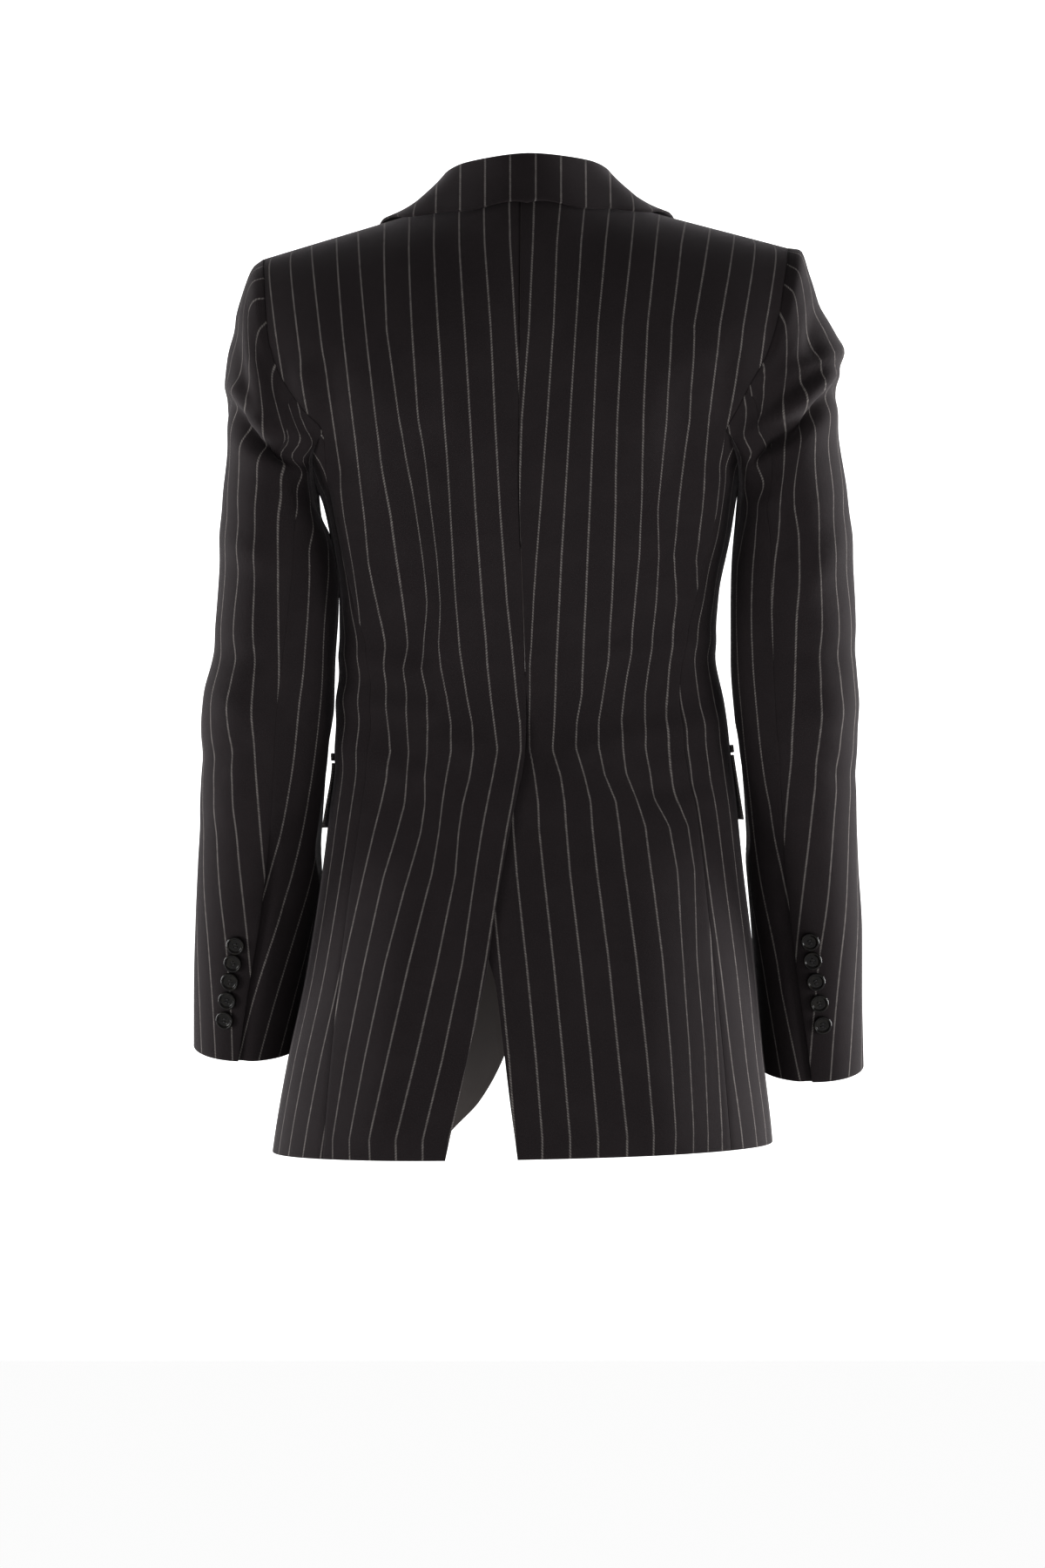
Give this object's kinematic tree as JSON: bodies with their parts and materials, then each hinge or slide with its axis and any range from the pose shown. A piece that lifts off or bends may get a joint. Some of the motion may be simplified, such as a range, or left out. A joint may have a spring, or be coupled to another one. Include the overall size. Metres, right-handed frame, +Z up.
{
  "type": "pinstriped single-breasted blazer, worn form with no wearer",
  "caption": "Hollow tailored blazer with notched lapels, two-piece sleeves, flap pockets, a centre back vent and buttoned cuffs, in dark striped cloth.",
  "frame": {"origin": "middle of the neck, level with the points where the collar meets the shoulders, where the wearer holds the garment up", "axes": "+Z up, the front faces -Y and the wearer's left is +X"},
  "size_m": [0.5203, 0.2635, 0.7558],
  "materials": {
    "suiting": "matt wool with pale chalk stripes",
    "button": "polished"
  },
  "bodies": {
    "root": {"back_left": "suiting", "back_right": "suiting", "side_left": "suiting", "side_right": "suiting", "front_left": "suiting", "front_right": "suiting", "lapel_left": "suiting", "lapel_right": "suiting", "collar": "suiting", "sleeve_left_top": "suiting", "sleeve_left_under": "suiting", "sleeve_right_top": "suiting", "sleeve_right_under": "suiting", "flap_left": "suiting", "flap_right": "suiting", "welt_left": "suiting", "welt_right": "suiting", "cuff_button_left_1": "button", "cuff_button_left_2": "button", "cuff_button_left_3": "button", "cuff_button_left_4": "button", "cuff_button_left_5": "button", "cuff_button_right_1": "button", "cuff_button_right_2": "button", "cuff_button_right_3": "button", "cuff_button_right_4": "button", "cuff_button_right_5": "button", "front_button_1": "button", "front_button_2": "button"}
  },
  "joints": []
}
